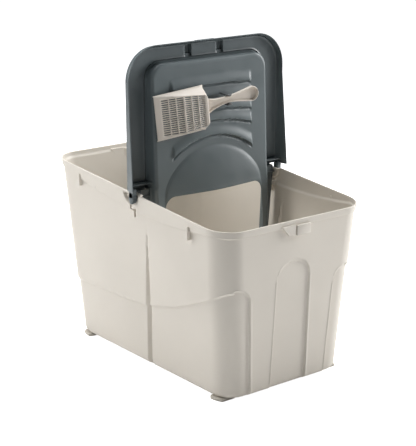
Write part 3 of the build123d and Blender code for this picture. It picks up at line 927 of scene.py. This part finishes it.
def build_tub():
    shape = tub_details(tub_shell())
    make("tub_shell", shape, "box", TUB_PLASTIC, sharp=50.0, replaces=("tub",))


def build_lid():
    shape = frame_shell()
    shape.join(rails())
    shape.mirrored(frame_side())
    shape.block((-26, 1.4, 683), (26, 5.4, 691), 1.8)
    make("lid_frame", shape, "lid", SHADED_FRAME_PLASTIC, replaces=("hood_frame",))
    insert = insert_shell()
    make("lid_insert", insert, "lid", INSERT_PLASTIC, replaces=("entry_insert",))


def build_scoop():
    head = make("scoop_head", scoop_head(), "scoop", SCOOP_PLASTIC, place=scoop_place,
                replaces=("scoop",))
    wall = head.modifiers.new("solidify", "SOLIDIFY")
    wall.thickness = HEAD_SKIN * MM
    wall.offset = -1.0
    wall.use_even_offset = False
    make("scoop_grip", scoop_handle(), "scoop", SCOOP_PLASTIC, place=scoop_place)
    make("scoop_jaws", clip_shape(), "lid", CLIP_PLASTIC, place=scoop_place,
         replaces=("scoop_clip",))


def carry_over(node, material):
    """A CAD piece kept as it is, with a procedural material."""
    cad = frame["nodes"][node]
    cad.data.materials.clear()
    cad.data.materials.append(material)


# =====================================================================
# studio
# =====================================================================

CAMERA_TARGET = Vector((0.0199, 0.0156, 0.2842))
CAMERA_AZIMUTH, CAMERA_ELEVATION = math.radians(-38.21), math.radians(16.25)
CAMERA_DISTANCE, CAMERA_LENS = 2.922, 107.7
AIM = Vector((0, 0, 0.3))
FLOOR_HALF_SIZE = 9


def facing(back):
    """Rotation whose local +Z points along back, with no roll."""
    back = back.normalized()
    right = Vector((0, 0, 1)).cross(back).normalized()
    return Matrix((right, back.cross(right), back)).transposed()


def camera():
    data = bpy.data.cameras.new("camera")
    data.lens = CAMERA_LENS
    data.sensor_width = 36.0
    flat = math.cos(CAMERA_ELEVATION)
    side, forward = math.sin(CAMERA_AZIMUTH) * flat, -math.cos(CAMERA_AZIMUTH) * flat
    back = Vector((side, forward, math.sin(CAMERA_ELEVATION)))
    place = Matrix.Translation(CAMERA_TARGET + back * CAMERA_DISTANCE) @ facing(back).to_4x4()
    item = bpy.data.objects.new("camera", data)
    item.matrix_world = place
    bpy.context.scene.collection.objects.link(item)
    bpy.context.scene.camera = item


def area_light(name, place, size, power):
    """A rectangular soft light aimed at the middle of the object."""
    data = bpy.data.lights.new(name, "AREA")
    data.shape = "RECTANGLE"
    data.size, data.size_y = size
    data.energy = power
    item = bpy.data.objects.new(name, data)
    place = Vector(place)
    item.matrix_world = Matrix.Translation(place) @ facing(place - AIM).to_4x4()
    bpy.context.scene.collection.objects.link(item)


def floor():
    """Pale floor that the camera sees as plain white, and that hardly lights the object by itself."""
    mesh = bpy.data.meshes.new("floor")
    size = FLOOR_HALF_SIZE
    corners = [(-size, -size, 0), (size, -size, 0), (size, size, 0), (-size, size, 0)]
    mesh.from_pydata(corners, [], [(0, 1, 2, 3)])
    mat = bpy.data.materials.new("floor")
    mat.use_nodes = True
    nodes, links = mat.node_tree.nodes, mat.node_tree.links
    shader = nodes["Principled BSDF"]
    shader.inputs["Base Color"].default_value = (0.92, 0.92, 0.92, 1)
    shader.inputs["Roughness"].default_value = 0.9
    shader.inputs["Emission Color"].default_value = (1, 1, 1, 1)
    rays, glow = nodes.new("ShaderNodeLightPath"), nodes.new("ShaderNodeMapRange")
    glow.inputs["To Min"].default_value = 0.02
    glow.inputs["To Max"].default_value = 1.0
    links.new(rays.outputs["Is Camera Ray"], glow.inputs["Value"])
    links.new(glow.outputs["Result"], shader.inputs["Emission Strength"])
    mesh.materials.append(mat)
    item = bpy.data.objects.new("floor", mesh)
    bpy.context.scene.collection.objects.link(item)


def world():
    """White behind the object, and a very dim sky for everything but the camera."""
    scene_world = bpy.data.worlds.new("studio")
    scene_world.use_nodes = True
    nodes, links = scene_world.node_tree.nodes, scene_world.node_tree.links
    dim = nodes["Background"]
    dim.inputs["Color"].default_value = (0.95, 0.98, 1, 1)
    dim.inputs["Strength"].default_value = 0.03
    white = nodes.new("ShaderNodeBackground")
    white.inputs["Color"].default_value = (1, 1, 1, 1)
    rays, mix = nodes.new("ShaderNodeLightPath"), nodes.new("ShaderNodeMixShader")
    links.new(rays.outputs["Is Camera Ray"], mix.inputs["Fac"])
    links.new(dim.outputs["Background"], mix.inputs[1])
    links.new(white.outputs["Background"], mix.inputs[2])
    links.new(mix.outputs["Shader"], nodes["World Output"].inputs["Surface"])
    bpy.context.scene.world = scene_world
    bpy.context.scene.view_settings.view_transform = "Standard"


camera()
build_tub()
build_lid()
build_scoop()
for corner_name in ("front_left", "front_right", "rear_left", "rear_right"):
    carry_over("foot_" + corner_name, FOOT_PLASTIC)
for side_name in ("left", "right"):
    carry_over("hinge_pin_" + side_name, PIN_PLASTIC)
floor()
world()
area_light("left", (-2.0, 2.2, 1.5), (2.0, 1.8), 54)
area_light("right", (2.55, -1.05, 1.3), (1.2, 1.8), 80)
area_light("top", (0.0, 0.6, 2.6), (2.6, 2.2), 88)
